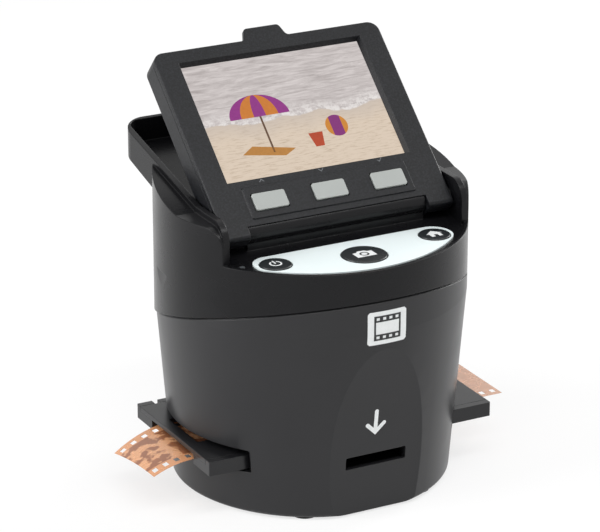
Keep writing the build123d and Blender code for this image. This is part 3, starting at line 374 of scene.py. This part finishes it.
sign_thickness = 0.06
signs = {
    "power_button": [stroke(arc(2.1, 125, 415, 30), 0.65), stroke([(0, 0.3), (0, 2.6)], 0.65)],
    "capture_button": [
        [(-4, -2.6), (4, -2.6), (4, 2.1), (2.2, 2.1), (1.5, 3.2), (-1.5, 3.2), (-2.2, 2.1), (-4, 2.1)],
        arc(1.9, 0, 350, 35),
        arc(1.15, 0, 350, 35),
    ],
    "home_button": [
        [(-3.3, 0.2), (0, 3.1), (3.3, 0.2), (2.3, 0.2), (2.3, -2.6), (0.8, -2.6), (0.8, -0.6), (-0.8, -0.6),
         (-0.8, -2.6), (-2.3, -2.6), (-2.3, 0.2)],
    ],
}
for button, outlines in signs.items():
    low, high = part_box(button)
    sign = flat_shape(button + "_sign", outlines, sign_thickness)
    lay(sign, ((low[0] + high[0]) / 2, (low[1] + high[1]) / 2, high[2]), (1, 0, 0), (0, 0, 1))
    sign.data.materials.append(white_ink)
    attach(sign, button)

# ---------------------------------------------------------------- Display housing
# The front frame and back shell of the display, in the same ABS but with a coarser eroded grain, and
# three soft grey buttons on a raised field below the window. Each button has a small mark above it.
display_abs, tree, shader = start_material("ABS, injection moulded, grained black", IOR=1.53,
                                           Specular_IOR_Level=0.22)
grain, drift = satin_grain(tree, shader, grit_mm=0.7, depth_mm=0.05, strength=0.25, edge_mm=0.35)
uneven_roughness(tree, shader, drift, 0.34, 0.42)
flecks = add_node(tree, "ShaderNodeMapRange",
                  {"Value": grain.outputs["Fac"], "From Min": 0.42, "From Max": 0.68})
tint(tree, shader, flecks.outputs["Result"], "#0C0D0F", "#202125")
dress(display_abs, "display_bezel", "display_back_cover")

key_abs = grained_finish(
    "ABS, painted soft grey", grit_mm=0.35, depth_mm=0.02, strength=0.15,
    roughness=(0.38, 0.46), tones=("#A1A5A2", "#A9ADAA"), IOR=1.5,
)
dress(key_abs, "menu_button_1", "menu_button_2", "menu_button_3")

hinge = next(j for j in frame["joints"] if j["name"] == "display_hinge")
hinge_place = Vector(hinge["pos_m"])
display_lean = math.radians(41.8)
display_up = Vector((0, math.cos(display_lean), math.sin(display_lean)))
display_out = Vector((0, -math.sin(display_lean), math.cos(display_lean)))


def on_display(x, u, w):
    """A point given in millimetres across, up and out of the display, from the hinge."""
    return hinge_place + Vector((x * mm, 0, 0)) + display_up * u * mm + display_out * w * mm


grey_ink = screen_ink("screen-printing ink, grey", "#5C5F63", "#6E7175")

bezel_face = 5.1
mark_level = 17.4
key_marks = {
    -25: [stroke([(-0.9, -0.5), (0, 0.5), (0.9, -0.5)], 0.28)],
    0: [stroke([(-0.9, 0.5), (0, -0.5), (0.9, 0.5)], 0.28)],
    25: [stroke([(-0.9, 0), (-0.25, -0.6), (0.9, 0.7)], 0.28)],
}
for x, outlines in key_marks.items():
    mark = flat_shape(f"key_mark_{x}".replace("-", "left_"), outlines, sign_thickness)
    lay(mark, on_display(x, mark_level, bezel_face), (1, 0, 0), display_out)
    mark.data.materials.append(grey_ink)
    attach(mark, "display")

# ---------------------------------------------------------------- Screen picture
# The lit liquid-crystal screen behind its window, with a picture of a beach: surf above, sand below, and
# a few flat coloured things on the sand. The glass is smooth, and the picture glows by itself.
# Its pattern is worked out in millimetres across and up the display, from the hinge.
unlit_screen = linear("#121416")
screen_glow = 0.9
screen, tree, shader = start_material("liquid-crystal screen, lit", Base_Color=unlit_screen, Roughness=0.12,
                                      IOR=1.5, Specular_IOR_Level=0.3, Emission_Strength=screen_glow)
place = add_node(tree, "ShaderNodeTexCoord")
from_hinge = add_node(tree, "ShaderNodeMapping",
                      {"Vector": place.outputs["Object"], "Location": tuple(-hinge_place)})
flat = add_node(tree, "ShaderNodeMapping",
                {"Vector": from_hinge.outputs["Vector"], "Rotation": (-display_lean, 0, 0),
                 "Scale": (1 / mm, 1 / mm, 1 / mm)})
parts = add_node(tree, "ShaderNodeSeparateXYZ", {"Vector": flat.outputs["Vector"]})
flow = add_node(tree, "ShaderNodeMapping", {"Vector": flat.outputs["Vector"], "Scale": (0.09, 0.75, 0)})
swell = add_node(tree, "ShaderNodeTexNoise",
                 {"Vector": flow.outputs["Vector"], "Scale": 1.0, "Detail": 6.0, "Roughness": 0.7,
                  "Distortion": 0.6})
sea = add_node(tree, "ShaderNodeValToRGB", {"Fac": swell.outputs["Fac"]})
for stop, position, tone in zip(sea.color_ramp.elements, (0.3, 0.64), ("#AEA5A3", "#DDD5D3")):
    stop.position = position
    stop.color = linear(tone)
grains = add_node(tree, "ShaderNodeTexNoise",
                  {"Vector": flow.outputs["Vector"], "Scale": 2.2, "Detail": 8.0, "Roughness": 0.72})
sand = add_node(tree, "ShaderNodeValToRGB", {"Fac": grains.outputs["Fac"]})
for stop, position, tone in zip(sand.color_ramp.elements, (0.3, 0.5), ("#BBA68E", "#E2D0BC")):
    stop.position = position
    stop.color = linear(tone)
wobble = add_node(tree, "ShaderNodeTexNoise",
                  {"Vector": flat.outputs["Vector"], "Scale": 0.07, "Detail": 3.0})
swing = add_node(tree, "ShaderNodeMath", {0: wobble.outputs["Fac"], 1: 9.0}, operation="MULTIPLY")
edge = add_node(tree, "ShaderNodeMath", {0: parts.outputs["Y"], 1: swing.outputs[0]}, operation="ADD")
water_line = 48.0
wet = add_node(tree, "ShaderNodeMapRange",
               {"Value": edge.outputs[0], "From Min": water_line - 8, "From Max": water_line, "To Max": 0.7})
wet_sand = add_node(tree, "ShaderNodeMix",
                    {"Factor": wet.outputs["Result"], "A": sand.outputs["Color"], "B": linear("#CBBEB3")},
                    data_type="RGBA")
water = add_node(tree, "ShaderNodeMapRange",
                 {"Value": edge.outputs[0], "From Min": water_line - 0.4, "From Max": water_line + 0.2})
shore = add_node(tree, "ShaderNodeMix",
                 {"Factor": water.outputs["Result"], "A": wet_sand.outputs["Result"],
                  "B": sea.outputs["Color"]},
                 data_type="RGBA")
spray = add_node(tree, "ShaderNodeTexNoise",
                 {"Vector": flat.outputs["Vector"], "Scale": 0.5, "Detail": 5.0, "Roughness": 0.75})
curls = add_node(tree, "ShaderNodeMapRange",
                 {"Value": spray.outputs["Fac"], "From Min": 0.42, "From Max": 0.56})
fading = add_node(tree, "ShaderNodeMapRange",
                  {"Value": edge.outputs[0], "From Min": water_line, "From Max": water_line + 5.5,
                   "To Min": 1.0, "To Max": 0.0})
froth = add_node(tree, "ShaderNodeMath", {0: curls.outputs["Result"], 1: fading.outputs["Result"]},
                 operation="MULTIPLY")
foam = add_node(tree, "ShaderNodeMath", {0: froth.outputs[0], 1: water.outputs["Result"]},
                operation="MULTIPLY")
picture = add_node(tree, "ShaderNodeMix",
                   {"Factor": foam.outputs[0], "A": shore.outputs["Result"], "B": linear("#F0EBE8")},
                   data_type="RGBA")
tree.links.new(picture.outputs["Result"], shader.inputs["Emission Color"])
dress(screen, "screen_glass")

glass_face = 2.93
patch_step = 0.03


def picture_patch(name, outlines, colour, level):
    """A coloured patch of the picture, a hair above the glass, or one step higher for a patch on a patch."""
    patch = flat_shape(name, outlines, 0.02)
    lay(patch, on_display(0, 0, glass_face + patch_step * level), (1, 0, 0), display_out)
    paint, tree, shader = start_material("screen colour, " + name, Base_Color=unlit_screen, Roughness=0.12,
                                         Specular_IOR_Level=0.3, Emission_Strength=screen_glow)
    place = add_node(tree, "ShaderNodeTexCoord")
    drift = add_node(tree, "ShaderNodeTexNoise",
                     {"Vector": place.outputs["Object"], "Scale": 1 / (1.2 * mm), "Detail": 4.0})
    dark = tuple(c * 0.72 for c in linear(colour)[:3]) + (1.0,)
    shade = add_node(tree, "ShaderNodeMix",
                     {"Factor": drift.outputs["Fac"], "A": dark, "B": linear(colour)}, data_type="RGBA")
    tree.links.new(shade.outputs["Result"], shader.inputs["Emission Color"])
    patch.data.materials.append(paint)
    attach(patch, "display")


shade_x, shade_rim = -14.0, 45.0
shade_reach, shade_rise = 12.5, 9.5
pole_foot = 29.5
ribs = (-1.0, -0.62, -0.2, 0.2, 0.62, 1.0)
gore_colours = ("#9C2E8E", "#DE8428")


def rib(share):
    """Points up one rib of the parasol, from its rim to its crown."""
    turns = [math.radians(9 * i) for i in range(11)]
    reach = share * shade_reach
    return [(shade_x + reach * math.cos(t), shade_rim + shade_rise * math.sin(t)) for t in turns]


for number, (first, last) in enumerate(zip(ribs, ribs[1:])):
    gore = rib(first) + rib(last)[-2::-1]
    picture_patch(f"parasol_gore_{number}", [gore], gore_colours[number % 2], 1)
picture_patch("parasol_pole", [stroke([(shade_x, shade_rim + 1), (shade_x, pole_foot)], 0.8)], "#6A4A32", 0)
picture_patch("towel", [[(-27, 30.0), (-10, 27.0), (-5, 29.5), (-22, 33.0)]], "#C98A3C", 0)
ball_radius, ball_middle = 4.6, (15, 36)
picture_patch("ball", [arc(ball_radius, 0, 350, 35, ball_middle)], "#E0902C", 0)
ball_band = arc(ball_radius, 60, 120, 10, ball_middle) + arc(ball_radius, 240, 300, 10, ball_middle)
picture_patch("ball_stripe", [ball_band], "#8E2A80", 1)
picture_patch("bucket", [[(2.2, 34.5), (8.2, 34.5), (7.0, 28.5), (3.4, 28.5)]], "#C4481F", 0)

# ---------------------------------------------------------------- Film holder
# A two-part ABS holder, satin black and finely grained, with softly rounded edges. It slides through the
# body and carries the film.
holder_abs = grained_finish(
    "ABS, injection moulded, fine satin", grit_mm=0.4, depth_mm=0.03, strength=0.15, edge_mm=0.5,
    roughness=(0.28, 0.35), tones=("#18181A", "#1E1E20"), IOR=1.53, Specular_IOR_Level=0.35,
)
dress(holder_abs, "film_holder_base", "film_holder_lid")

# ---------------------------------------------------------------- Film
# A strip of developed 35 mm colour film: a thin orange-brown sheet with sprocket holes along both edges.
# Its left end is cupped across and curls down where it hangs free, and its right end is paler.
film_half_width = 17.5 * mm
hole_inner, hole_outer = 12.7 * mm, 15.5 * mm
hole_pitch, hole_width = 4.75 * mm, 1.98 * mm
picture_half_width = 12 * mm
film_base, tree, shader = start_material("colour film, developed", IOR=1.48, Transmission_Weight=0.25)
place = add_node(tree, "ShaderNodeTexCoord")
parts = add_node(tree, "ShaderNodeSeparateXYZ", {"Vector": place.outputs["Object"]})
image = add_node(tree, "ShaderNodeTexNoise",
                 {"Vector": place.outputs["Object"], "Scale": 1 / (5 * mm), "Detail": 2.0, "Roughness": 0.5})
tones = add_node(tree, "ShaderNodeValToRGB", {"Fac": image.outputs["Fac"]})
for stop, position, tone in zip(tones.color_ramp.elements, (0.46, 0.52), ("#A0694A", "#E6AC80")):
    stop.position = position
    stop.color = linear(tone)
across = add_node(tree, "ShaderNodeMath", {0: parts.outputs["Y"]}, operation="ABSOLUTE")
rim = add_node(tree, "ShaderNodeMapRange",
               {"Value": across.outputs[0], "From Min": picture_half_width - 0.1 * mm,
                "From Max": picture_half_width + 0.1 * mm})
strip = add_node(tree, "ShaderNodeMix",
                 {"Factor": rim.outputs["Result"], "A": tones.outputs["Color"], "B": linear("#E0A274")},
                 data_type="RGBA")
# The film is drawn paler towards its right end.
paler_end = add_node(tree, "ShaderNodeMapRange",
                  {"Value": parts.outputs["X"], "From Min": 55 * mm, "From Max": 66 * mm, "To Max": 0.85})
strip_with_paler_end = add_node(tree, "ShaderNodeMix",
                 {"Factor": paler_end.outputs["Result"], "A": strip.outputs["Result"], "B": linear("#F3C6AC")},
                 data_type="RGBA")
tree.links.new(strip_with_paler_end.outputs["Result"], shader.inputs["Base Color"])
uneven_roughness(tree, shader, image, 0.22, 0.3)

_, film_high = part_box("film_strip")
half_rows = (3.5 * mm, 7.0 * mm, 10.0 * mm, hole_inner, hole_outer, film_half_width)
grid_rows = [-row for row in reversed(half_rows)] + [0.0, *half_rows]
grid_columns = (0.0, (hole_pitch - hole_width) / 2, (hole_pitch + hole_width) / 2, hole_pitch)
bpy.ops.object.select_all(action="DESELECT")
bpy.ops.mesh.primitive_grid_add(
    x_subdivisions=len(grid_columns) - 1, y_subdivisions=len(grid_rows) - 1, size=1
)
film = bpy.context.object
film.name = "film"
xs = sorted({round(v.co.x, 4) for v in film.data.vertices})
ys = sorted({round(v.co.y, 4) for v in film.data.vertices})
for v in film.data.vertices:
    column = xs.index(round(v.co.x, 4))
    row = ys.index(round(v.co.y, 4))
    v.co = (grid_columns[column], grid_rows[row], 0)
for face in film.data.polygons:
    x, y, _ = face.center
    face.select = grid_columns[1] < x < grid_columns[2] and hole_inner < abs(y) < hole_outer
for v in film.data.vertices:
    v.select = False
for e in film.data.edges:
    e.select = False
bpy.ops.object.mode_set(mode="EDIT")
bpy.context.tool_settings.mesh_select_mode = (False, False, True)
bpy.ops.mesh.delete(type="FACE")
bpy.ops.object.mode_set(mode="OBJECT")
hole_count = 32
repeat = film.modifiers.new("repeat", "ARRAY")
repeat.count = hole_count
repeat.use_relative_offset = False
repeat.use_constant_offset = True
repeat.constant_offset_displace = (hole_pitch, 0, 0)
repeat.use_merge_vertices = True
repeat.merge_threshold = 0.01 * mm
bpy.ops.object.modifier_apply(modifier="repeat")

curl_radius = 40.1 * mm
curl_start = -56.0 * mm
cup_length = 20.0 * mm
edge_lift = 2.2 * mm
edge_drop = 1.0 * mm
strip_length = hole_count * hole_pitch
flat_end = film_high[0] - 0.3 * mm
film_level = film_high[2] - 0.1 * mm
for v in film.data.vertices:
    x = flat_end - (strip_length - v.co.x)
    z = film_level
    if x < curl_start:
        angle = (curl_start - x) / curl_radius
        x = curl_start - curl_radius * math.sin(angle)
        z = film_level - curl_radius * (1 - math.cos(angle))
    free = min(max(0.0, (curl_start - x) / cup_length), 1.0)
    across_share = v.co.y / film_half_width
    z += free * (-edge_lift * across_share - edge_drop * across_share**2)
    v.co = (x, v.co.y, z)
skin = film.modifiers.new("thickness", "SOLIDIFY")
skin.thickness = 0.14 * mm
skin.offset = 0
bpy.ops.object.modifier_apply(modifier="thickness")
bpy.ops.object.shade_smooth_by_angle(angle=math.radians(30))
film.data.materials.append(film_base)
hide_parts("film_strip")
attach(film, "film_strip")

# ---------------------------------------------------------------- Arrow at the card slot
# White ink, printed on the flat above the slot: it shows which way a card goes in. Its head lies a hair
# over its stem.
def wrap(piece, height_mm, proud_mm, material):
    """Bends a flat piece round the lower housing at a height, cut into 1 mm cells so that it follows."""
    select_only(piece)
    bpy.ops.object.mode_set(mode="EDIT")
    for step in range(-8, 9):
        for direction in ((1, 0, 0), (0, 1, 0)):
            bpy.ops.mesh.select_all(action="SELECT")
            bpy.ops.mesh.bisect(plane_co=[step * mm * d for d in direction], plane_no=direction)
    bpy.ops.object.mode_set(mode="OBJECT")
    for v in piece.data.vertices:
        before_wall = Vector((v.co.x, -0.2, height_mm * mm + v.co.y))
        _, on_wall, normal, _ = nodes["lower_housing"].ray_cast(before_wall, Vector((0, 1, 0)))
        v.co = on_wall + normal * (v.co.z + proud_mm * mm)
    piece.data.materials.append(material)
    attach(piece, "housing")


arrow_level = 37.0
arrow_x = -1
arrow_line = 1.6
arrow_lines = {
    "slot_arrow_stem": ([(arrow_x, 5.1), (arrow_x, -2.8)], 0.05),
    "slot_arrow_head": ([(arrow_x - 3.5, -0.3), (arrow_x, -3.7), (arrow_x + 3.5, -0.3)], 0.07),
}
for name, (points, proud) in arrow_lines.items():
    wrap(flat_shape(name, [stroke(points, arrow_line)], sign_thickness), arrow_level, proud, white_ink)

# ---------------------------------------------------------------- Label under the panel
# A pale printed label with a plain sign for a frame of film, bent round the body.
label_thickness = 0.1
label = flat_shape(
    "film_label",
    [[(-7.2, -6.5), (7.2, -6.5), (8, -5.7), (8, 5.7), (7.2, 6.5), (-7.2, 6.5), (-8, 5.7), (-8, -5.7)]],
    label_thickness,
)


def oblong(x, y, half_width, half_height):
    """The outline of a rectangle about a middle point."""
    return [(x - half_width, y - half_height), (x + half_width, y - half_height),
            (x + half_width, y + half_height), (x - half_width, y + half_height)]


sprocket_holes = [oblong(x, y, 0.65, 0.55) for x in (-3.9, -1.3, 1.3, 3.9) for y in (-3.6, 3.6)]
sign = flat_shape(
    "film_label_sign", [oblong(0, 0, 5.5, 4.8), oblong(0, 0, 4.8, 2.4)] + sprocket_holes, label_thickness
)
black_ink = screen_ink("screen-printing ink, black", "#1E1F20", "#262728")
label_level = 77.5
wrap(label, label_level, 0.08, white_ink)
wrap(sign, label_level, 0.16, black_ink)
